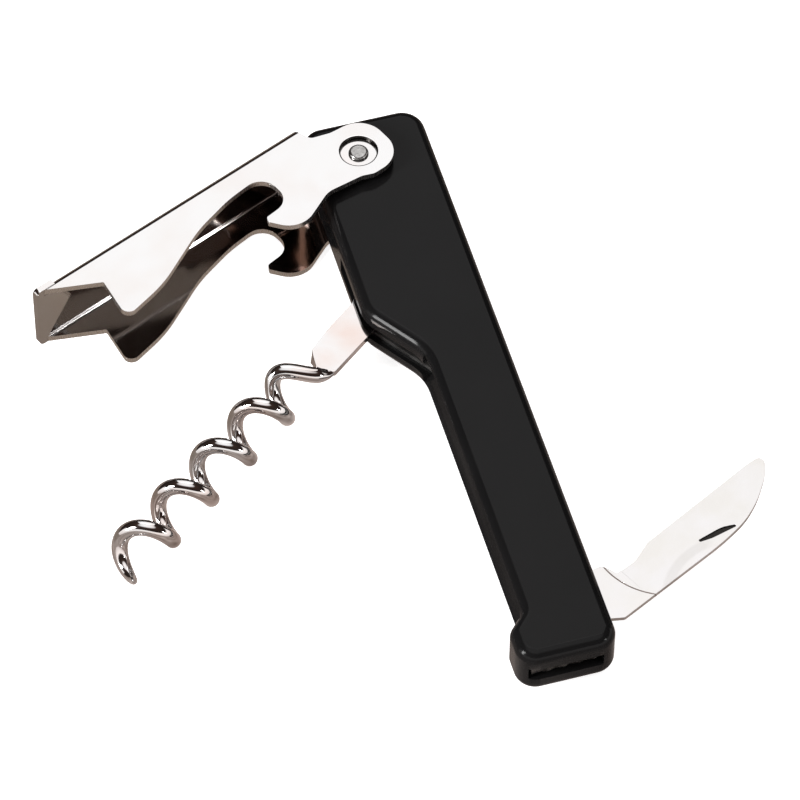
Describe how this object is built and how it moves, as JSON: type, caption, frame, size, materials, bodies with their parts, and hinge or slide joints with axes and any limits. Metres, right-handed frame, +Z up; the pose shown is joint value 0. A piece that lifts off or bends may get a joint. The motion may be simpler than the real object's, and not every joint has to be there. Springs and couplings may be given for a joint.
{
  "type": "lever corkscrew",
  "caption": "Waiter's friend corkscrew: black moulded handle with a folding lever and cap lifter, a folding wire worm and a small folding foil knife.",
  "frame": {"origin": "middle of the lowest plane of the whole object as it lies on its back, lever and blades half open", "axes": "+X across the handle towards the knife side, +Y along the handle towards the lever hinge, +Z up through the thickness, along all hinge pins"},
  "size_m": [0.107, 0.115, 0.0138],
  "materials": {
    "handle": "gloss",
    "lever_steel": "bright plated",
    "worm_steel": "bright plated",
    "blade_steel": "polished",
    "rivet_steel": "peened",
    "frame_steel": "sheared, plain"
  },
  "bodies": {
    "handle": {"handle_cover": "handle", "frame_plate_front": "frame_steel", "frame_plate_back": "frame_steel", "head_spacer": "frame_steel", "foot_spacer": "frame_steel", "back_spring": "frame_steel", "lever_rivet": "rivet_steel", "head_rivets": "rivet_steel", "spring_rivets": "rivet_steel", "foot_rivets": "rivet_steel", "lever_bush": "rivet_steel", "lever_washer_front": "rivet_steel", "lever_washer_back": "rivet_steel", "worm_pin": "rivet_steel", "worm_washer_front": "rivet_steel", "worm_washer_back": "rivet_steel", "knife_pin": "rivet_steel", "knife_washer_front": "rivet_steel", "knife_washer_back": "rivet_steel"},
    "lever": {"lever": "lever_steel"},
    "worm": {"worm": "worm_steel"},
    "knife": {"knife_blade": "blade_steel"}
  },
  "joints": [
    {"name": "lever_swing", "type": "hinge", "parent": "handle", "child": "lever", "pos_m": [0.00642, 0.04845, 0.0069], "axis": [0, 0, 1], "range_deg": [-83.35, 66.65]},
    {"name": "worm_swing", "type": "hinge", "parent": "handle", "child": "worm", "pos_m": [0.00347, 0.02283, 0.0069], "axis": [0, 0, 1], "range_deg": [-65.6, 52.41]},
    {"name": "knife_swing", "type": "hinge", "parent": "handle", "child": "knife", "pos_m": [0.01572, -0.04743, 0.0069], "axis": [0, 0, 1], "range_deg": [-46.26, 63.74]}
  ],
  "couplings": [
    {"joint": "worm_swing", "follows": "lever_swing", "ratio": 0.7862}
  ]
}
